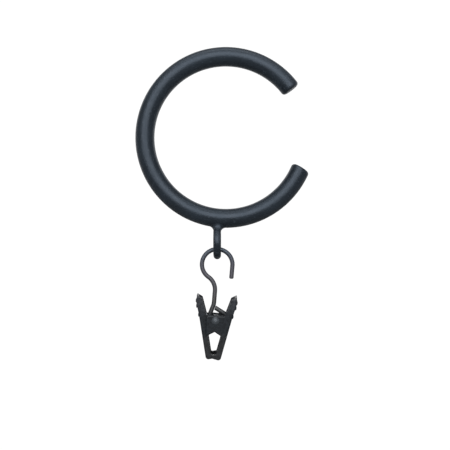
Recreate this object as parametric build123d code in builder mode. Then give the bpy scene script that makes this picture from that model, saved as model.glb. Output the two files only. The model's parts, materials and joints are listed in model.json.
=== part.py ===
"""Bypass curtain ring: an open steel ring with a welded eye, carrying a hooked spring clip.

Millimetres. The origin is the centre of the ring, +Y runs along the curtain rod, +Z is up and the
mouth of the ring is towards +X. The clip hangs from the eye, closed.
"""

import os
from math import asin, atan2, cos, degrees, hypot, radians, sin, sqrt, tan

from build123d import *

# Ring: a round bar bent to an open circle
RING_INNER_DIAMETER = 45.0
BAR_DIAMETER = 6.0
MOUTH_TOP_ANGLE = 36.0
MOUTH_BOTTOM_ANGLE = -22.0
MOUTH_BOTTOM_SLANT = 10.0
BAR_END_ROUND = 1.0

# Eye: a closed wire loop welded under the bar, its hole facing along X
EYE_WIRE_DIAMETER = 2.4
EYE_HOLE_DIAMETER = 5.6
EYE_OFFSET = -2.7
WELD_SINK = 0.4
WELD_ROUND = 1.9
WELD_BITE = 0.05
WELD_SPAN = 60.0

# Hook: one wire, its bend in the plane of the ring
HOOK_WIRE_DIAMETER = 1.4
HOOK_BEND_RADIUS = 4.8
HOOK_TIP_ANGLE = 5.0
HOOK_TIP_LENGTH = 4.1
HOOK_TIP_ROUND = 0.45
HOOK_BACK_ANGLE = 55.0
HOOK_DROP = 17.2
HOOK_SEAT_CLEARANCE = 0.08
SHANK_OFFSET = -0.7
SHANK_LEAN = 4.5

# Closed eye at the foot of the hook, round the spring
PIVOT_OFFSET = -0.5
FOOT_COIL_CLEARANCE = 0.12
FOOT_APEX_HEIGHT = 4.8
FOOT_APEX_RADIUS = 4.0
FOOT_CORNER_REACH = 0.7
FOOT_CORNER_RADIUS = 1.3
FOOT_SHOULDER_REACH = 0.95
FOOT_SHOULDER_HEIGHT = 1.5
FOOT_END_HEIGHT = 3.65
FOOT_END_CLEARANCE = 0.06

# Pivot pin: a rivet with a domed head at each end
PIN_DIAMETER = 1.5
PIN_CLEARANCE = 0.05
PIN_HEAD_DIAMETER = 2.4
PIN_HEAD_HEIGHT = 0.6
PIN_HEAD_CLEARANCE = 0.06

# Torsion spring: a coil on the pin with a leg against each finger tab
SPRING_WIRE_DIAMETER = 0.6
SPRING_TURN_CLEARANCE = 0.06
SPRING_PIN_CLEARANCE = 0.1
SPRING_SIDE_ROOM = 0.8
SPRING_LEG_HEIGHT = 3.6
SPRING_LEG_CLEARANCE = 0.06

# Jaws: two stamped sheet levers, the left one nested in the right one, hanging with a slight lean
CLIP_LEAN = 3.5
SHEET_THICKNESS = 0.6
CLIP_WIDTH = 8.0
NEST_CLEARANCE = 0.1
JAW_ROOM = 0.4
JAW_LENGTH = 12.3
JAW_TIP_HALF_WIDTH = 2.2
JAW_TIP_GAP = 0.1
JAW_FOOT_LAP = 0.5
JAW_ARM_WIDTH = 1.8
JAW_FOOT_HEIGHT = 1.9
JAW_FOOT_SLOPE = 0.3
JAW_FOOT_RISE = 0.5
JAW_FOOT_ROUND = 0.9
JAW_EDGE_ROUND = 0.45
EAR_ROOT_DROP = 4.7
EAR_REACH = 3.1
EAR_TOP_HEIGHT = 1.6
EAR_ROUND = 1.1
EAR_NOTCH_DROP = 3.45
EAR_FOOT_REACH = 2.7
EAR_FOOT_DROP = 5.0
EAR_FOOT_ROUND = 0.4
TAB_BEND_HEIGHT = 1.5
TAB_FLARE = 1.0
TAB_FLARE_HEIGHT = 5.0
TAB_FLARE_RADIUS = 3.0
TAB_HEIGHT = 7.6
TAB_ROOT_DEPTH = 2.3
TAB_TIP_DEPTH = 1.7
TAB_TIP_DROP = 1.0
TAB_END_ROUND = 0.9
RIB_WIDTH = 1.4
RIB_HEIGHT = 0.28
RIB_END_ROOM = 1.0
RIB_LOWER_HEIGHT = 4.2
RIB_UPPER_HEIGHT = 5.8
TOOTH_DEPTH = 0.7
TOOTH_PITCH = 1.3

# Faces of a jaw that look outwards within this angle are its web
WEB_FACING_ANGLE = 65.0

os.makedirs("parts", exist_ok=True)

# Places that follow from the sizes above
bar_radius = BAR_DIAMETER / 2
ring_radius = RING_INNER_DIAMETER / 2 + bar_radius
eye_wire_radius = EYE_WIRE_DIAMETER / 2
eye_radius = EYE_HOLE_DIAMETER / 2 + eye_wire_radius
bar_underside = -sqrt((ring_radius + bar_radius) ** 2 - EYE_OFFSET**2)
eye_z = bar_underside + WELD_SINK - eye_radius - eye_wire_radius

hook_wire_radius = HOOK_WIRE_DIAMETER / 2
hook_top_z = eye_z - EYE_HOLE_DIAMETER / 2 + hook_wire_radius + HOOK_SEAT_CLEARANCE
hook_z = hook_top_z - HOOK_BEND_RADIUS
pivot_x = EYE_OFFSET + PIVOT_OFFSET
pivot_z = hook_z - HOOK_DROP

pin_radius = PIN_DIAMETER / 2
spring_wire_radius = SPRING_WIRE_DIAMETER / 2
coil_radius = pin_radius + SPRING_PIN_CLEARANCE + spring_wire_radius
foot_drop = coil_radius + spring_wire_radius + FOOT_COIL_CLEARANCE + hook_wire_radius
foot_reach = foot_drop + FOOT_SHOULDER_REACH

left_width = CLIP_WIDTH - 2 * (SHEET_THICKNESS + NEST_CLEARANCE)
web_at_pivot = foot_reach + hook_wire_radius + JAW_ROOM + SHEET_THICKNESS
web_slope = (web_at_pivot - JAW_TIP_HALF_WIDTH) / JAW_LENGTH
tab_bend_x = web_at_pivot + web_slope * TAB_BEND_HEIGHT
tab_flare_x = tab_bend_x + TAB_FLARE
tab_slope = TAB_FLARE / (TAB_FLARE_HEIGHT - TAB_BEND_HEIGHT)
foot_slope = JAW_FOOT_RISE / (JAW_TIP_HALF_WIDTH - JAW_TIP_GAP / 2)

# Directions of the hanging clip
pivot = Vector(pivot_x, 0, pivot_z)
clip_right = Vector(cos(radians(CLIP_LEAN)), 0, -sin(radians(CLIP_LEAN)))
clip_up = Vector(sin(radians(CLIP_LEAN)), 0, cos(radians(CLIP_LEAN)))

# Ring, its lower end cut a little aslant
lower_angle = radians(MOUTH_BOTTOM_ANGLE)
slant_angle = radians(MOUTH_BOTTOM_ANGLE - MOUTH_BOTTOM_SLANT)
lower_cut = Plane(
    origin=(ring_radius * cos(lower_angle), 0, ring_radius * sin(lower_angle)),
    x_dir=(cos(slant_angle), 0, sin(slant_angle)),
    z_dir=(-sin(slant_angle), 0, cos(slant_angle)),
)
bar_span = 360 - MOUTH_TOP_ANGLE + MOUTH_BOTTOM_ANGLE + MOUTH_BOTTOM_SLANT / 2
with BuildPart() as ring:
    with BuildLine(Plane.XZ) as ring_line:
        CenterArc((0, 0), ring_radius, MOUTH_TOP_ANGLE, bar_span)
    with BuildSketch(Plane(ring_line.line @ 0, z_dir=ring_line.line % 0)):
        Circle(bar_radius)
    sweep(path=ring_line.line)
    with BuildSketch(lower_cut):
        Rectangle(2 * BAR_DIAMETER, 2 * BAR_DIAMETER)
    extrude(amount=BAR_DIAMETER, mode=Mode.SUBTRACT)
    fillet(ring.faces().filter_by(GeomType.PLANE).edges(), BAR_END_ROUND)
ring.part.label = "ring"

# Eye, with the fillet of weld that joins it to the bar
eye_angle = degrees(atan2(bar_underside, EYE_OFFSET))
with BuildPart() as eye:
    with BuildLine(Plane.XZ) as weld_line:
        CenterArc((0, 0), ring_radius, eye_angle - WELD_SPAN / 2, WELD_SPAN)
    with BuildSketch(Plane(weld_line.line @ 0, z_dir=weld_line.line % 0)):
        Circle(bar_radius - WELD_BITE)
    sweep(path=weld_line.line)
    with Locations((EYE_OFFSET, 0, eye_z)):
        Torus(eye_radius, eye_wire_radius, rotation=(0, 90, 0))
    fillet(eye.edges(Select.LAST), WELD_ROUND)
    add(ring.part, mode=Mode.SUBTRACT)
eye.part.label = "eye"

# Hook: tip, bend, neck and shank, then once round the spring
hook_plane = Plane(origin=(EYE_OFFSET, 0, hook_z), x_dir=(1, 0, 0), z_dir=(0, -1, 0))
back_angle = radians(HOOK_BACK_ANGLE)
lean_angle = radians(SHANK_LEAN)
neck_radius = (SHANK_OFFSET + HOOK_BEND_RADIUS * cos(back_angle)) / (1 - cos(back_angle))
neck_end_x = SHANK_OFFSET - neck_radius * (1 - cos(lean_angle))
neck_end_z = -HOOK_BEND_RADIUS * sin(back_angle) - neck_radius * (sin(back_angle) + sin(lean_angle))
apex_x = neck_end_x - (neck_end_z + HOOK_DROP - FOOT_APEX_HEIGHT) * tan(lean_angle) - PIVOT_OFFSET
leg_angle = atan2(FOOT_APEX_HEIGHT, apex_x) - asin(foot_drop / hypot(apex_x, FOOT_APEX_HEIGHT))
corner_x = apex_x - (FOOT_APEX_HEIGHT + foot_drop) / tan(leg_angle)
leg_at_end_x = apex_x - (FOOT_APEX_HEIGHT - FOOT_END_HEIGHT) / tan(leg_angle)
foot_end_x = leg_at_end_x + (hook_wire_radius + FOOT_END_CLEARANCE) / sin(leg_angle)
strand_x = foot_end_x - foot_reach
strand_z = FOOT_END_HEIGHT - FOOT_SHOULDER_HEIGHT
swept_share = 1 - HOOK_WIRE_DIAMETER / hypot(strand_x, strand_z)
foot_cut = Plane(
    origin=(pivot_x + foot_end_x, 0, pivot_z + FOOT_END_HEIGHT),
    x_dir=(cos(leg_angle), 0, sin(leg_angle)),
    z_dir=(-sin(leg_angle), 0, cos(leg_angle)),
)
with BuildPart() as hook:
    with BuildLine(hook_plane) as hook_line:
        bend = CenterArc((0, 0), HOOK_BEND_RADIUS, -HOOK_TIP_ANGLE, 180 + HOOK_TIP_ANGLE + HOOK_BACK_ANGLE)
        tip = Line(bend @ 0 - (bend % 0) * HOOK_TIP_LENGTH, bend @ 0)
        neck = JernArc(bend @ 1, bend % 1, neck_radius, -HOOK_BACK_ANGLE - SHANK_LEAN)
        foot = FilletPolyline(
            neck @ 1,
            (PIVOT_OFFSET + apex_x, FOOT_APEX_HEIGHT - HOOK_DROP),
            (PIVOT_OFFSET + corner_x, -foot_drop - HOOK_DROP),
            (PIVOT_OFFSET + foot_drop + FOOT_CORNER_REACH, -foot_drop - HOOK_DROP),
            (PIVOT_OFFSET + foot_reach, FOOT_SHOULDER_HEIGHT - HOOK_DROP),
            (
                PIVOT_OFFSET + foot_reach + strand_x * swept_share,
                FOOT_SHOULDER_HEIGHT - HOOK_DROP + strand_z * swept_share,
            ),
            radius=[FOOT_APEX_RADIUS, FOOT_CORNER_RADIUS, FOOT_CORNER_RADIUS, FOOT_CORNER_RADIUS],
        )
    # Free end of the foot, cut to lie along the leg
    with BuildSketch(Plane(foot @ 1, z_dir=foot % 1)):
        Circle(hook_wire_radius)
    extrude(amount=2 * HOOK_WIRE_DIAMETER)
    with BuildSketch(foot_cut):
        Rectangle(4 * HOOK_WIRE_DIAMETER, 2 * HOOK_WIRE_DIAMETER)
    extrude(amount=2 * HOOK_WIRE_DIAMETER, mode=Mode.SUBTRACT)
    # The rest of the wire, with a rounded tip
    with BuildSketch(Plane(tip @ 0, z_dir=tip % 0)):
        Circle(hook_wire_radius)
    sweep(path=hook_line.wire())
    fillet(hook.faces().filter_by(GeomType.PLANE).sort_by(Axis.Z)[-1].edges(), HOOK_TIP_ROUND)
hook.part.label = "hook"

# Pivot pin
pin_half = CLIP_WIDTH / 2 + PIN_HEAD_CLEARANCE
with BuildPart() as pivot_pin:
    with BuildSketch(Plane(origin=pivot)):
        with BuildLine():
            for end in (-1, 1):
                head_top = (0, end * (pin_half + PIN_HEAD_HEIGHT))
                head_rim = (PIN_HEAD_DIAMETER / 2, end * pin_half)
                TangentArc(head_top, head_rim, tangent=(1, 0))
                Line(head_rim, (pin_radius, end * pin_half))
            Line((pin_radius, -pin_half), (pin_radius, pin_half))
            Line((0, -pin_half - PIN_HEAD_HEIGHT), (0, pin_half + PIN_HEAD_HEIGHT))
        make_face()
    revolve(axis=Axis(pivot, (0, 1, 0)))
pivot_pin.part.label = "pivot_pin"

# Torsion spring: the wire comes down from the left tab, winds round the pin and leaves to the right tab
leg_web_x = tab_bend_x + tab_slope * (SPRING_LEG_HEIGHT - TAB_BEND_HEIGHT)
leg_inset = (SHEET_THICKNESS + spring_wire_radius + SPRING_LEG_CLEARANCE) * hypot(1, tab_slope)
leg_end_x = leg_web_x - leg_inset
leg_length = sqrt(leg_end_x**2 + SPRING_LEG_HEIGHT**2 - coil_radius**2)
leg_turn = degrees(atan2(SPRING_LEG_HEIGHT, leg_end_x) - atan2(leg_length, coil_radius))
coil_pitch = SPRING_WIRE_DIAMETER + SPRING_TURN_CLEARANCE
coil_space = left_width - 2 * (SHEET_THICKNESS + SPRING_SIDE_ROOM) - SPRING_WIRE_DIAMETER
coil_turns = int(coil_space / coil_pitch) + (180 + 2 * leg_turn) / 360
coil_length = coil_turns * coil_pitch
coil_start = radians(180 - leg_turn - CLIP_LEAN)
coil_plane = Plane(
    origin=(pivot_x, -coil_length / 2, pivot_z), x_dir=(cos(coil_start), 0, sin(coil_start)), z_dir=(0, 1, 0)
)
with BuildPart() as torsion_spring:
    with BuildLine() as coil_line:
        coil = Helix(coil_pitch, coil_length, coil_radius, lefthand=True, mode=Mode.PRIVATE)
        add(coil_plane.location * coil)
    with BuildSketch(Plane(coil_line.line @ 0, z_dir=coil_line.line % 0)):
        Circle(spring_wire_radius)
    sweep(path=coil_line.line, is_frenet=True)
    extrude(torsion_spring.faces().filter_by(GeomType.PLANE), amount=leg_length)
torsion_spring.part.label = "torsion_spring"


def make_jaw(side, width, foot_edge, tooth_gaps):
    """One sheet lever: a web across the clip with a flange, an ear and a foot along each edge."""
    plane = Plane(origin=pivot, x_dir=clip_right * side, z_dir=(0, -side, 0))
    foot_top = JAW_FOOT_HEIGHT - JAW_LENGTH
    web_line = [
        ((tab_flare_x, TAB_FLARE_HEIGHT), TAB_FLARE_RADIUS),
        ((tab_bend_x, TAB_BEND_HEIGHT), TAB_FLARE_RADIUS),
        ((JAW_TIP_HALF_WIDTH, -JAW_LENGTH), JAW_FOOT_ROUND),
    ]
    outline = [
        ((tab_flare_x, TAB_HEIGHT), 0),
        *web_line,
        ((foot_edge, foot_slope * (JAW_TIP_HALF_WIDTH - foot_edge) - JAW_LENGTH), 0),
        ((foot_edge, foot_top - JAW_FOOT_SLOPE), 0),
        ((web_at_pivot + web_slope * foot_top - JAW_ARM_WIDTH, foot_top), 0),
        ((web_at_pivot - web_slope * EAR_ROOT_DROP - JAW_ARM_WIDTH, -EAR_ROOT_DROP), 0),
        ((0, -EAR_NOTCH_DROP), 0),
        ((-EAR_FOOT_REACH, -EAR_FOOT_DROP), EAR_FOOT_ROUND),
        ((-EAR_REACH, EAR_TOP_HEIGHT), EAR_ROUND),
        ((tab_bend_x - TAB_ROOT_DEPTH, EAR_TOP_HEIGHT), 0),
        ((tab_flare_x - TAB_TIP_DEPTH, TAB_HEIGHT - TAB_TIP_DROP), 0),
    ]
    room = [
        ((tab_flare_x, 2 * TAB_HEIGHT), 0),
        *web_line,
        ((-2 * JAW_LENGTH, foot_slope * (JAW_TIP_HALF_WIDTH + 2 * JAW_LENGTH) - JAW_LENGTH), 0),
        ((-2 * JAW_LENGTH, 2 * TAB_HEIGHT), 0),
    ]
    with BuildPart() as jaw:
        # Outline of the flanges, through the whole width, with the bends rounded
        with BuildSketch(plane):
            with BuildLine():
                FilletPolyline(*[point for point, _ in outline], radius=[r for _, r in outline], close=True)
            make_face()
        extrude(amount=width / 2, both=True)
        web_faces = jaw.faces().filter_by(
            lambda face: plane.x_dir.get_angle(face.normal_at()) < WEB_FACING_ANGLE
        )
        web_edges = web_faces.edges().group_by(Axis.Y)
        fillet(web_edges[0] + web_edges[-1], JAW_EDGE_ROUND)
        # Room between the flanges, which leaves the web and the lip
        with BuildSketch(plane):
            with BuildLine():
                FilletPolyline(*[point for point, _ in room], radius=[r for _, r in room], close=True)
            make_face()
            offset(amount=-SHEET_THICKNESS, kind=Kind.INTERSECTION, mode=Mode.REPLACE)
            with Locations((JAW_TIP_GAP / 2, -JAW_LENGTH)):
                Rectangle(JAW_LENGTH, 2 * JAW_FOOT_HEIGHT, align=(Align.MAX, Align.CENTER))
        extrude(amount=width / 2 - SHEET_THICKNESS, both=True, mode=Mode.SUBTRACT)
        # Finger ribs and the ridge at the foot of the tab
        with BuildSketch(plane):
            with Locations(
                (tab_bend_x, TAB_BEND_HEIGHT),
                (tab_bend_x + tab_slope * (RIB_LOWER_HEIGHT - TAB_BEND_HEIGHT), RIB_LOWER_HEIGHT),
                (tab_flare_x, RIB_UPPER_HEIGHT),
            ):
                Ellipse(RIB_HEIGHT, RIB_WIDTH / 2)
        extrude(amount=width / 2 - RIB_END_ROOM, both=True)
        # Rounded end of the tab
        with BuildSketch(Plane(origin=pivot, x_dir=(0, 1, 0), z_dir=clip_right)):
            with Locations((0, TAB_HEIGHT)):
                Rectangle(2 * width, 2 * TAB_END_ROUND)
            RectangleRounded(width, 2 * TAB_HEIGHT, TAB_END_ROUND, mode=Mode.SUBTRACT)
        extrude(amount=2 * JAW_LENGTH, both=True, mode=Mode.SUBTRACT)
        # Holes for the pin
        with Locations(pivot):
            Cylinder(pin_radius + PIN_CLEARANCE, 2 * width, rotation=(90, 0, 0), mode=Mode.SUBTRACT)
        # Teeth along the lip
        with BuildSketch(Plane(origin=pivot - clip_up * JAW_LENGTH, x_dir=clip_right, z_dir=clip_up)):
            with Locations((side * JAW_TIP_GAP / 2, 0)):
                with GridLocations(0, TOOTH_PITCH, 1, tooth_gaps):
                    Polygon((0, -TOOTH_PITCH / 2), (side * TOOTH_DEPTH, 0), (0, TOOTH_PITCH / 2), align=None)
        extrude(amount=JAW_FOOT_HEIGHT, mode=Mode.SUBTRACT)
    return jaw


# Jaws, with the teeth of one opposite the gaps of the other
tooth_gaps = int((left_width - 2 * SHEET_THICKNESS) / TOOTH_PITCH)
left_jaw = make_jaw(-1, left_width, JAW_TIP_GAP / 2, tooth_gaps)
left_jaw.part.label = "left_jaw"
right_jaw = make_jaw(1, CLIP_WIDTH, -JAW_FOOT_LAP, tooth_gaps - 1)
right_jaw.part.label = "right_jaw"

for piece in (ring, eye, hook, left_jaw, right_jaw, pivot_pin, torsion_spring):
    export_step(piece.part, f"parts/{piece.part.label}.step")
    print(f"{piece.part.label}: {piece.part.volume:.2f} cubic millimetres")
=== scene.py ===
# %% [markdown]
# # A bypass curtain ring with its clip
#
# The part is an open steel ring that slides along a curtain rod and past the rod's brackets. A small
# eye is welded under it, a wire hook hangs in the eye, and a sprung clip hangs on the hook and grips
# the cloth. The solids come from the CAD model, at their real size and place. This lesson gives them
# their finishes, winds a new spring in place of the solid one, and sets up the studio.

# %% Load the CAD model
import json
import math

import bpy
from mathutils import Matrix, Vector


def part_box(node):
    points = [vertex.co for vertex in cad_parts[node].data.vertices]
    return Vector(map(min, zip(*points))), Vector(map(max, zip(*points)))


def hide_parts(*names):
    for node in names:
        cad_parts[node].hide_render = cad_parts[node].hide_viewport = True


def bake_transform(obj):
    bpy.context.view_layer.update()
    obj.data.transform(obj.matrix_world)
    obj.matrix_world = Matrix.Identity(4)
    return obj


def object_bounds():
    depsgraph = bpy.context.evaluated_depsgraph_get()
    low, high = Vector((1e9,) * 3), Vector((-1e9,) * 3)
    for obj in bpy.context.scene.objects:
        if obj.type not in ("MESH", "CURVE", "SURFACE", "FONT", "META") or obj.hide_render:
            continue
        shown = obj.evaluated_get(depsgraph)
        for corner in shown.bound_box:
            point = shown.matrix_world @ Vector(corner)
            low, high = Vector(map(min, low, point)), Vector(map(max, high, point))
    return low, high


MM = 0.001

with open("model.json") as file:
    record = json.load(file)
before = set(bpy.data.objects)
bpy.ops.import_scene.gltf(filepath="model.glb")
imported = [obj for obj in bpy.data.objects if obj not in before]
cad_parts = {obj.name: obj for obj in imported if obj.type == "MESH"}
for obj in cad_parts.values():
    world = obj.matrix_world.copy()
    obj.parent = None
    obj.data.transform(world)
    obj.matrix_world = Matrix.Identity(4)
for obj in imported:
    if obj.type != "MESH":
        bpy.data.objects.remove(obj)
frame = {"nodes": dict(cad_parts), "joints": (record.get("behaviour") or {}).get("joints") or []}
nodes = frame["nodes"]
cad_low, cad_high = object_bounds()
print("CAD nodes:", ", ".join(sorted(nodes)))
print("CAD size in mm:", [round(side / MM, 1) for side in cad_high - cad_low])

# %% [markdown]
# ## Camera
#
# The cut face shows at the upper end of the bar and not at the lower one, so the camera is lower than the
# ring and looks up at it. The top edges of the clip show, so it is higher than the clip. That means a near
# camera, level with the space between them, and a lens of about 50 mm. The ring is 181 pixels across, which
# gives the scale. The camera stands back from the ring's centre, then moves sideways and along the
# picture's height until the centre is on its own pixel. That way no lens shift is needed.

# %% Camera
PICTURE_SIDE = 450
RING_PIXELS = 180.8
RING_CENTRE_PIXEL = (225.8, 137.5)
LENS = 50
SENSOR = 36
SIGHT_ON_RING = math.radians(8.5)

ring_low, ring_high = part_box("ring")
pixels_per_metre = RING_PIXELS / (ring_high.z - ring_low.z)
ring_right = (RING_CENTRE_PIXEL[0] - PICTURE_SIDE / 2) / pixels_per_metre
ring_above = (PICTURE_SIDE / 2 - RING_CENTRE_PIXEL[1]) / pixels_per_metre
distance = PICTURE_SIDE / pixels_per_metre * LENS / SENSOR
look_up = SIGHT_ON_RING - math.atan(ring_above / distance)
picture_up = Vector((0, -math.sin(look_up), math.cos(look_up)))
towards_camera = Vector((0, -math.cos(look_up), -math.sin(look_up)))
camera_place = towards_camera * distance - Vector((ring_right, 0, 0)) - picture_up * ring_above

bpy.ops.object.select_all(action="DESELECT")
bpy.ops.object.camera_add(location=camera_place, rotation=(math.pi / 2 + look_up, 0, 0))
camera = bpy.context.object
camera.name = "product_camera"
camera.data.lens = LENS
camera.data.sensor_width = SENSOR
bpy.context.scene.camera = camera
print(f"Camera {distance / MM:.0f} mm from the ring, {-camera_place.z / MM:.0f} mm below its centre")

# %% [markdown]
# ## Helpers for the finishes
#
# Every finish is a small network of nodes. Colours are easiest to read as hex values, but Blender mixes
# linear light, so one function converts them. Another adds a node, sets it up and links it. Each pattern
# is sized in millimetres: with Object coordinates in metres, a noise of scale 1000 / size has features of
# about that size.

# %% Colour, node and scale helpers
def linear(hex_colour):
    """Linear RGBA of an sRGB hex colour."""
    channels = [int(hex_colour[place:place + 2], 16) / 255 for place in (1, 3, 5)]
    return [c / 12.92 if c <= 0.04045 else ((c + 0.055) / 1.055) ** 2.4 for c in channels] + [1.0]


def add_node(tree, kind, settings=None, stops=(), **inputs):
    """Adds a node with its settings, the stops of its colour ramp and its inputs.

    A stop is a place from 0 to 1 and a hex colour. An input goes by its socket's name, or by _ and a
    number where sockets share a name. It takes a value, or a link from another socket.
    """
    node = tree.nodes.new(kind)
    for name, value in (settings or {}).items():
        setattr(node, name, value)
    for _ in stops[2:]:
        node.color_ramp.elements.new(1.0)
    if stops:
        for stop, (place, hex_colour) in zip(node.color_ramp.elements, stops):
            stop.position = place
            stop.color = linear(hex_colour)
    for name, value in inputs.items():
        socket = node.inputs[int(name[1:])] if name[1:].isdigit() else node.inputs[name.replace("_", " ")]
        if isinstance(value, bpy.types.NodeSocket):
            tree.links.new(value, socket)
        else:
            socket.default_value = value
    return node


def scale_for(millimetres):
    """Scale of a pattern whose features are about this big."""
    return 1 / (millimetres * MM)


def height_share(tree, place, node_name):
    """Share of the way up a CAD node, from 0 at its foot to 1 at its top."""
    low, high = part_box(node_name)
    height = add_node(tree, "ShaderNodeSeparateXYZ", Vector=place).outputs["Z"]
    share = add_node(tree, "ShaderNodeMapRange", Value=height, From_Min=low.z, From_Max=high.z)
    return share.outputs["Result"]


def start_finish(name):
    """A material with only its shader, ready for a pattern on Object coordinates."""
    material = bpy.data.materials.new(name)
    material.use_nodes = True
    tree = material.node_tree
    shader = tree.nodes["Principled BSDF"]
    place = add_node(tree, "ShaderNodeTexCoord").outputs["Object"]
    return material, tree, shader, place


def cover(node_name, material):
    """Puts a finish on a CAD node in place of its plain colour."""
    for slot in nodes[node_name].material_slots:
        slot.material = material


print("Slate black as linear light:", [round(c, 4) for c in linear("#1d242a")[:3]])

# %% [markdown]
# ## Satin black powder coat
#
# The ring and its eye are steel bar and wire, welded, then sprayed with powder that melts to one skin in
# an oven. The skin is a satin slate black. It flows out almost smooth and keeps a shallow ripple called
# orange peel, about a millimetre across, and a finer grain. Faint patches come from uneven powder, and
# small pale specks from dust.

# %% Colour of the powder coat
powder, tree, shader, place = start_finish("satin_black_powder_coat")
patches = add_node(tree, "ShaderNodeTexNoise", Vector=place, Scale=scale_for(7), Detail=3.0, Roughness=0.6)
slates = add_node(tree, "ShaderNodeValToRGB", stops=((0.3, "#0e1317"), (0.7, "#1d242a")),
                  Fac=patches.outputs["Fac"])
dust = add_node(tree, "ShaderNodeTexNoise", Vector=place, Scale=scale_for(0.5), Detail=1.0)
dust_mask = add_node(tree, "ShaderNodeMapRange", Value=dust.outputs["Fac"],
                     From_Min=0.66, From_Max=0.76, To_Max=0.5)
speckled = add_node(tree, "ShaderNodeMix", {"data_type": "RGBA"}, _0=dust_mask.outputs["Result"],
                    _6=slates.outputs["Color"], _7=linear("#4a525c"))
tree.links.new(speckled.outputs[2], shader.inputs["Base Color"])
for name in ("ring", "eye"):
    cover(name, powder)
print("Powder coat on the ring and the eye:", len(tree.nodes), "nodes so far")

# %% [markdown]
# The highlights run along the bar, and they are as bright on its upright side as on top, although the
# light is high. So the gloss isn't the same in all directions. The bar was ground round before it was
# bent, faint marks run round its girth, and the skin follows them, which spreads each highlight along
# the bar. The direction along the bar is the cross product of the place and the ring's axis.

# %% Relief and gloss of the powder coat
RING_AXIS = (0, 1, 0)
peel = add_node(tree, "ShaderNodeTexNoise", Vector=place, Scale=scale_for(1.1), Detail=2.0, Roughness=0.5)
grain = add_node(tree, "ShaderNodeTexNoise", Vector=place, Scale=scale_for(0.3), Detail=1.0)
peel_bump = add_node(tree, "ShaderNodeBump", Height=peel.outputs["Fac"], Strength=0.55, Distance=0.12 * MM)
grain_bump = add_node(tree, "ShaderNodeBump", Height=grain.outputs["Fac"], Strength=0.3, Distance=0.03 * MM,
                      Normal=peel_bump.outputs["Normal"])
tree.links.new(grain_bump.outputs["Normal"], shader.inputs["Normal"])
gloss = add_node(tree, "ShaderNodeMapRange", Value=patches.outputs["Fac"],
                 From_Min=0.25, From_Max=0.75, To_Min=0.42, To_Max=0.55)
tree.links.new(gloss.outputs["Result"], shader.inputs["Roughness"])
along_bar = add_node(tree, "ShaderNodeVectorMath", {"operation": "CROSS_PRODUCT"}, _0=place, _1=RING_AXIS)
tree.links.new(along_bar.outputs["Vector"], shader.inputs["Tangent"])
shader.inputs["Anisotropic"].default_value = 0.75
shader.inputs["Specular Tint"].default_value = linear("#d9eaff")
shader.inputs["Specular IOR Level"].default_value = 0.76
print("Powder coat finished:", len(tree.nodes), "nodes")

# %% [markdown]
# ## Black oxide on drawn wire
#
# The hook's wire isn't sprayed. It was blackened in a hot salt bath, which turns the skin of the steel
# to a thin dark oxide. It still shines like metal, dimly. Its tint wanders: grey on the shank and blue
# on top of the bend. Towards the foot, which sits between the jaws, it is almost black, and that is
# painted shade. So height and noise are mixed. Fine pits from the drawing die catch the light.

# %% Black oxide wire
# How much the height steers the tint, and with it the painted shade at the foot.
TINT_AND_SHADE_BY_HEIGHT = 0.75
oxide, tree, shader, place = start_finish("black_oxide_wire")
tints = add_node(tree, "ShaderNodeTexNoise", Vector=place, Scale=scale_for(5), Detail=4.0, Roughness=0.6)
up_the_hook = height_share(tree, place, "hook")
tint_and_shade_mix = add_node(tree, "ShaderNodeMix", _0=TINT_AND_SHADE_BY_HEIGHT, _2=tints.outputs["Fac"], _3=up_the_hook)
# The darkest stop, at the foot, is painted shade where the foot sits between the jaws.
hues_and_foot_shade = add_node(tree, "ShaderNodeValToRGB", Fac=tint_and_shade_mix.outputs[0],
                stops=((0.25, "#3c3f43"), (0.38, "#565554"), (0.65, "#56555c"), (0.85, "#49515b")))
tree.links.new(hues_and_foot_shade.outputs["Color"], shader.inputs["Base Color"])
pits = add_node(tree, "ShaderNodeTexNoise", Vector=place, Scale=scale_for(0.35), Detail=3.0, Roughness=0.7)
pit_bump = add_node(tree, "ShaderNodeBump", Height=pits.outputs["Fac"], Strength=0.4, Distance=0.03 * MM)
tree.links.new(pit_bump.outputs["Normal"], shader.inputs["Normal"])
dull = add_node(tree, "ShaderNodeMapRange", Value=pits.outputs["Fac"],
                From_Min=0.3, From_Max=0.7, To_Min=0.38, To_Max=0.56)
tree.links.new(dull.outputs["Result"], shader.inputs["Roughness"])
shader.inputs["Metallic"].default_value = 0.6
cover("hook", oxide)
print("Black oxide on the hook:", len(tree.nodes), "nodes")

# %% [markdown]
# ## Black coated sheet
#
# The jaws are stamped from thin sheet and dipped in black lacquer, glossier than the powder coat. The
# lacquer draws back a little from cut edges, so the steel shows there as a thin paler line. That line also
# stands in for the highlight along the edges, so it is part wear and part painted highlight. A Bevel node
# rounds the normals near an edge. Where that rounded normal differs from the true one, there is an edge,
# and the same normal softens the sharp CAD corners in the light. The lacquer is a lighter grey on the
# arms and feet and on the tabs, and darkest on the plates between: the colour follows the height.

# %% Colour of the coated sheet
sheet, tree, shader, place = start_finish("black_lacquered_sheet")
rounded = add_node(tree, "ShaderNodeBevel", {"samples": 6}, Radius=0.14 * MM)
true_normal = add_node(tree, "ShaderNodeNewGeometry").outputs["Normal"]
alike = add_node(tree, "ShaderNodeVectorMath", {"operation": "DOT_PRODUCT"},
                 _0=rounded.outputs["Normal"], _1=true_normal)
edge = add_node(tree, "ShaderNodeMapRange", Value=alike.outputs["Value"], From_Min=0.97, From_Max=0.8)
edge_breakup = add_node(tree, "ShaderNodeTexNoise", Vector=place, Scale=scale_for(1.5), Detail=4.0, Roughness=0.7)
edge_breakup_mask = add_node(tree, "ShaderNodeMapRange", Value=edge_breakup.outputs["Fac"],
                    From_Min=0.45, From_Max=0.65, To_Max=0.5)
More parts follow.
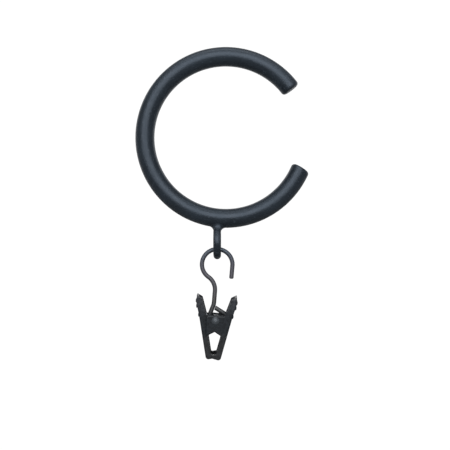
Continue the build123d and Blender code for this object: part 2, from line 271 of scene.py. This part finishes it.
# Paler line along the cut edges: partly worn lacquer, partly painted highlight.
wear_and_highlight_edge = add_node(tree, "ShaderNodeMath", {"operation": "MULTIPLY"},
                _0=edge.outputs["Result"], _1=edge_breakup_mask.outputs["Result"])
# Lighter at the feet, the arms and the tabs, darkest on the plates between: the colour follows the height.
blacks = add_node(tree, "ShaderNodeValToRGB", Fac=height_share(tree, place, "right_jaw"),
                  stops=((0.28, "#2b2c2e"), (0.46, "#1a2026"), (0.69, "#1a2026"), (0.845, "#33363c")))
clouds = add_node(tree, "ShaderNodeTexNoise", Vector=place, Scale=scale_for(1), Detail=5.0, Roughness=0.7)
thickness = add_node(tree, "ShaderNodeValToRGB", stops=((0.35, "#929292"), (0.62, "#ffffff")),
                     Fac=clouds.outputs["Fac"])
mottled = add_node(tree, "ShaderNodeMix", {"data_type": "RGBA", "blend_type": "MULTIPLY"}, _0=1.0,
                   _6=blacks.outputs["Color"], _7=thickness.outputs["Color"])
# The edge colour is part bare steel, part painted highlight.
edged = add_node(tree, "ShaderNodeMix", {"data_type": "RGBA"}, _0=wear_and_highlight_edge.outputs["Value"],
                 _6=mottled.outputs[2], _7=linear("#464c52"))
tree.links.new(edged.outputs[2], shader.inputs["Base Color"])
for name in ("left_jaw", "right_jaw"):
    cover(name, sheet)
print("Lacquer on the jaws:", len(tree.nodes), "nodes so far")

# %% [markdown]
# Dipped lacquer dries with a slight ripple, a little under a millimetre across. It lies on top of the rounded
# normal, so that the soft corners stay. The clouds that tint the lacquer vary its gloss too.

# %% Relief and gloss of the coated sheet
ripple = add_node(tree, "ShaderNodeTexNoise", Vector=place, Scale=scale_for(0.8), Detail=2.0)
ripple_bump = add_node(tree, "ShaderNodeBump", Height=ripple.outputs["Fac"], Strength=0.35,
                       Distance=0.06 * MM, Normal=rounded.outputs["Normal"])
tree.links.new(ripple_bump.outputs["Normal"], shader.inputs["Normal"])
sheen = add_node(tree, "ShaderNodeMapRange", Value=clouds.outputs["Fac"],
                 From_Min=0.25, From_Max=0.75, To_Min=0.32, To_Max=0.44)
tree.links.new(sheen.outputs["Result"], shader.inputs["Roughness"])
shader.inputs["Specular IOR Level"].default_value = 0.32
print("Lacquer finished:", len(tree.nodes), "nodes")

# %% [markdown]
# ## Rubbed rivet
#
# The pin's domed heads stand proud, so handling has rubbed their lacquer thin. Their grey is lighter still,
# as painted highlight, and they are the brightest spots on the clip. A dome mirrors the soft box as one
# small soft patch, so the finish stays quiet: thin lacquer that lets a little steel through.

# %% Rubbed rivet
rivet, tree, shader, place = start_finish("rubbed_steel_and_glint_rivet")
rubbed = add_node(tree, "ShaderNodeTexNoise", Vector=place, Scale=scale_for(1.2), Detail=2.0, Roughness=0.5)
# Lighter grey than rubbed lacquer alone: partly painted highlight on the domes.
steel_and_glint = add_node(tree, "ShaderNodeValToRGB", stops=((0.3, "#40454a"), (0.7, "#565b60")),
                 Fac=rubbed.outputs["Fac"])
tree.links.new(steel_and_glint.outputs["Color"], shader.inputs["Base Color"])
satin = add_node(tree, "ShaderNodeMapRange", Value=rubbed.outputs["Fac"],
                 From_Min=0.3, From_Max=0.7, To_Min=0.44, To_Max=0.36)
tree.links.new(satin.outputs["Result"], shader.inputs["Roughness"])
scuffs = add_node(tree, "ShaderNodeTexNoise", Vector=place, Scale=scale_for(0.25), Detail=2.0)
scuff_bump = add_node(tree, "ShaderNodeBump", Height=scuffs.outputs["Fac"], Strength=0.2, Distance=0.02 * MM)
tree.links.new(scuff_bump.outputs["Normal"], shader.inputs["Normal"])
shader.inputs["Metallic"].default_value = 0.3
cover("pivot_pin", rivet)
print("Rubbed steel on the pivot pin:", len(tree.nodes), "nodes")

# %% [markdown]
# ## Torsion spring
#
# Inside the clip a coil of spring wire sits on the pin, with one leg against each finger tab. When the
# tabs are pinched the coil twists. A coil could be drawn as a curve, but a circle wound up by the
# Screw modifier is closer to how the wire is wound, and its two open ends can be capped and pulled out
# into legs by extruding. The coil is centred on the hinge between the jaws.

# %% Sizes of the spring
WIRE_RADIUS = 0.3 * MM
COIL_RADIUS = 1.15 * MM
COIL_PITCH = 0.66 * MM
COIL_TURNS = 4.264
COIL_START = math.radians(218.96)
LEG_LENGTH = 5.93 * MM
coil_length = COIL_PITCH * COIL_TURNS
pivot = Vector(next(joint["pos_m"] for joint in frame["joints"] if joint["name"] == "jaw_open"))
front = pivot - Vector((0, coil_length / 2, 0))
back = pivot + Vector((0, coil_length / 2, 0))
print(f"Spring: {COIL_TURNS:.2f} turns, {coil_length / MM:.2f} mm long")

# %% Wind the coil
WIRE_SIDES = 20
WINDING_STEPS = 120
bpy.ops.object.select_all(action="DESELECT")
bpy.ops.mesh.primitive_circle_add(vertices=WIRE_SIDES, radius=WIRE_RADIUS)
spring = bpy.context.object
spring.name = "wound_spring"
bpy.ops.object.mode_set(mode="EDIT")
bpy.ops.transform.translate(value=(COIL_RADIUS, 0, 0))
bpy.ops.object.mode_set(mode="OBJECT")
winding = spring.modifiers.new("winding", "SCREW")
winding.axis = "Y"
winding.angle = -2 * math.pi * COIL_TURNS
winding.screw_offset = coil_length
winding.steps = WINDING_STEPS
winding.render_steps = WINDING_STEPS
bpy.ops.object.modifier_apply(modifier="winding")
spring.rotation_euler = (0, -COIL_START, 0)
spring.location = front
bpy.ops.object.transform_apply(location=True, rotation=True, scale=True)
print("Coil:", len(spring.data.polygons), "faces")

# %% [markdown]
# Each end of the coil is an open circle of edges. Its centre is known from the winding, so the circle's
# points are found by their distance from it. Filling the circle and extruding the new face along the
# wire's own direction makes a straight leg, and a small bevel breaks the cut end of the wire.

# %% Pull out the legs
NEAR_RADIUS = WIRE_RADIUS * 1.02
NEAR_PLANE = 0.001 * MM
for end in (0, 1):
    angle = COIL_START + 2 * math.pi * COIL_TURNS * end
    radial = Vector((math.cos(angle), 0, math.sin(angle)))
    along = Vector((-math.sin(angle), 0, math.cos(angle))) * (1 if end else -1)
    centre = (back if end else front) + radial * COIL_RADIUS
    bpy.ops.object.mode_set(mode="EDIT")
    bpy.ops.mesh.select_mode(type="VERT")
    bpy.ops.mesh.select_all(action="DESELECT")
    bpy.ops.object.mode_set(mode="OBJECT")
    for point in spring.data.vertices:
        offset = point.co - centre
        point.select = offset.length < NEAR_RADIUS and abs(offset.dot(along)) < NEAR_PLANE
    bpy.ops.object.mode_set(mode="EDIT")
    bpy.ops.mesh.edge_face_add()
    bpy.ops.mesh.extrude_region_move(TRANSFORM_OT_translate={"value": along * LEG_LENGTH})
    bpy.ops.mesh.bevel(offset=WIRE_RADIUS / 4, segments=2)
    bpy.ops.object.mode_set(mode="OBJECT")
    print("Leg", end, "ends at", [round(c / MM, 2) for c in centre + along * LEG_LENGTH])

# %% [markdown]
# Winding and extruding can leave faces that look inwards, so all of them are turned outwards. Smooth shading
# then hides the facets of the wire and keeps its cut ends crisp.

# %% Turn the faces outwards
CRISP_EDGE = math.radians(40)
bpy.ops.object.mode_set(mode="EDIT")
bpy.ops.mesh.select_all(action="SELECT")
bpy.ops.mesh.normals_make_consistent(inside=False)
bpy.ops.object.mode_set(mode="OBJECT")
bpy.ops.object.shade_smooth_by_angle(angle=CRISP_EDGE)
print("Spring with its legs:", len(spring.data.polygons), "faces")

# %% [markdown]
# ## Oiled spring wire
#
# Spring wire is hardened in oil, which leaves a blue-grey skin darker than bare steel and smoother than
# the hook's oxide. It is the only bare metal in the clip.

# %% Oiled spring wire
tempered, tree, shader, place = start_finish("oil_tempered_spring_wire")
heat = add_node(tree, "ShaderNodeTexNoise", Vector=place, Scale=scale_for(1.2), Detail=3.0, Roughness=0.6)
blues = add_node(tree, "ShaderNodeValToRGB", stops=((0.3, "#5f6368"), (0.7, "#85888c")),
                 Fac=heat.outputs["Fac"])
tree.links.new(blues.outputs["Color"], shader.inputs["Base Color"])
drawn = add_node(tree, "ShaderNodeTexNoise", Vector=place, Scale=scale_for(0.2), Detail=2.0)
drawn_bump = add_node(tree, "ShaderNodeBump", Height=drawn.outputs["Fac"], Strength=0.2, Distance=0.02 * MM)
tree.links.new(drawn_bump.outputs["Normal"], shader.inputs["Normal"])
oily = add_node(tree, "ShaderNodeMapRange", Value=heat.outputs["Fac"],
                From_Min=0.3, From_Max=0.7, To_Min=0.28, To_Max=0.42)
tree.links.new(oily.outputs["Result"], shader.inputs["Roughness"])
shader.inputs["Metallic"].default_value = 1.0
spring.data.materials.append(tempered)
print("Oiled wire on the spring:", len(tree.nodes), "nodes")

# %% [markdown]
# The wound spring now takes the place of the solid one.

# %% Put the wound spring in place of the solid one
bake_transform(spring)
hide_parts("torsion_spring")

# %% [markdown]
# ## Studio
#
# The part hangs in front of a sheet of white paper that runs along the floor and up behind it in one
# sweep, so there is no horizon. A plane is the floor, its back edge is pulled up to make the wall, and
# the crease between them is rounded with a bevel.

# %% Paper sweep
FLOOR_DROP = 0.30
PAPER_HALF_WIDTH = 3.0
PAPER_HALF_DEPTH = 1.6
PAPER_RISE = 2.0
PAPER_BEND = 0.5
bpy.ops.object.select_all(action="DESELECT")
bpy.ops.mesh.primitive_plane_add(size=2, location=(0, 0, cad_low.z - FLOOR_DROP))
paper_sweep = bpy.context.object
paper_sweep.name = "paper_sweep"
paper_sweep.scale = (PAPER_HALF_WIDTH, PAPER_HALF_DEPTH, 1.0)
bpy.ops.object.transform_apply(location=True, rotation=True, scale=True)
bpy.ops.object.mode_set(mode="EDIT")
bpy.ops.mesh.select_mode(type="EDGE")
bpy.ops.mesh.select_all(action="DESELECT")
bpy.ops.object.mode_set(mode="OBJECT")
for line in paper_sweep.data.edges:
    line.select = all(paper_sweep.data.vertices[i].co.y > 0 for i in line.vertices)
bpy.ops.object.mode_set(mode="EDIT")
bpy.ops.mesh.extrude_region_move(TRANSFORM_OT_translate={"value": (0, 0, PAPER_RISE)})
bpy.ops.object.mode_set(mode="OBJECT")
for line in paper_sweep.data.edges:
    ends = [paper_sweep.data.vertices[i].co for i in line.vertices]
    line.select = all(end.y > 0 and end.z < cad_low.z for end in ends)
bpy.ops.object.mode_set(mode="EDIT")
bpy.ops.mesh.bevel(offset=PAPER_BEND, segments=16)
bpy.ops.object.mode_set(mode="OBJECT")
bpy.ops.object.shade_smooth()
print("Paper sweep:", len(paper_sweep.data.polygons), "faces")

# %% [markdown]
# Paper lit like the part would come out grey. So for the camera, and for anything that mirrors or passes
# light, most of its white is its own. The rest still takes a shadow.

# %% White paper
OWN_WHITE = 0.9
paper, tree, shader, _ = start_finish("white_background_paper")
shader.inputs["Base Color"].default_value = linear("#f4f4f4")
shader.inputs["Roughness"].default_value = 0.9
rays = add_node(tree, "ShaderNodeLightPath")
seen = rays.outputs["Is Camera Ray"]
for kind in ("Is Glossy Ray", "Is Transmission Ray"):
    either = add_node(tree, "ShaderNodeMath", {"operation": "ADD"}, _0=seen, _1=rays.outputs[kind])
    seen = either.outputs["Value"]
share = add_node(tree, "ShaderNodeMath", {"operation": "MULTIPLY"}, _0=seen, _1=OWN_WHITE)
white = add_node(tree, "ShaderNodeEmission", Color=linear("#ffffff"), Strength=1 / OWN_WHITE)
mix = add_node(tree, "ShaderNodeMixShader", _0=share.outputs["Value"],
               _1=shader.outputs["BSDF"], _2=white.outputs["Emission"])
tree.links.new(mix.outputs["Shader"], tree.nodes["Material Output"].inputs["Surface"])
paper_sweep.data.materials.append(paper)
print("Paper is white by itself to", f"{OWN_WHITE:.0%}")

# %% [markdown]
# ## Light
#
# Along the top and along the bottom of the ring the highlight sits a third of the way down the bar, and on
# the left side in its middle. So the main light is straight in front and high. The highlights are broad
# and soft, so it is large: a soft box a metre wide. A smaller one overhead carries the highlight up to the
# rim, where it fades. A lamp's power follows from its area and the radiance its face shows.

# %% Soft boxes
BOX_REACH = 0.75


def soft_box(name, width, height, azimuth, elevation, radiance):
    """An area lamp that looks at the middle of the part. Azimuth and elevation are in degrees."""
    a, e = math.radians(azimuth), math.radians(elevation)
    out = Vector((math.sin(a) * math.cos(e), -math.cos(a) * math.cos(e), math.sin(e)))
    bpy.ops.object.light_add(type="AREA", location=(cad_low + cad_high) / 2 + out * BOX_REACH)
    lamp = bpy.context.object
    lamp.name = name
    lamp.rotation_euler = out.to_track_quat("Z", "Y").to_euler()
    lamp.data.shape = "RECTANGLE"
    lamp.data.size = width
    lamp.data.size_y = height
    lamp.data.energy = math.pi * width * height * radiance
    return lamp


wide_box = soft_box("wide_soft_box", width=1.0, height=0.7, azimuth=-2, elevation=28, radiance=3.1)
top_box = soft_box("top_soft_box", width=0.6, height=0.4, azimuth=0, elevation=80, radiance=1.8)
print("Soft boxes:", [f"{lamp.name} {lamp.data.energy:.1f} W" for lamp in (wide_box, top_box)])

# %% [markdown]
# White paper below the part would make the undersides of the bar as bright as its top. They are dark, so a
# grey card lies under the part, hidden from the camera. It throws no shadow, so the paper keeps the shadow
# of the part.

# %% Grey card
CARD_WIDTH = 1.2
CARD_DEPTH = 0.9
CARD_FORWARD = 0.15
CARD_DROP = 0.05
bpy.ops.object.select_all(action="DESELECT")
bpy.ops.mesh.primitive_plane_add(size=1, location=(0, -CARD_FORWARD, cad_low.z - CARD_DROP))
grey_card = bpy.context.object
grey_card.name = "grey_card"
grey_card.scale = (CARD_WIDTH, CARD_DEPTH, 1.0)
bpy.ops.object.transform_apply(location=True, rotation=True, scale=True)
grey_card.visible_camera = False
grey_card.visible_shadow = False
card, tree, shader, _ = start_finish("matt_grey_card")
shader.inputs["Base Color"].default_value = linear("#969696")
shader.inputs["Roughness"].default_value = 1.0
shader.inputs["Specular IOR Level"].default_value = 0.0
grey_card.data.materials.append(card)
print(f"Grey card {CARD_DROP / MM:.0f} mm under the clip")

# %% [markdown]
# The rest of the room is dim and even, a little blue. The Standard view shows colours as they are written.

# %% Dim room
room = bpy.data.worlds.new("dim_room")
bpy.context.scene.world = room
room.use_nodes = True
walls = room.node_tree.nodes["Background"]
walls.inputs["Color"].default_value = linear("#c8ccd2")
walls.inputs["Strength"].default_value = 0.5
bpy.context.scene.view_settings.view_transform = "Standard"
print("Room at a strength of", walls.inputs["Strength"].default_value)
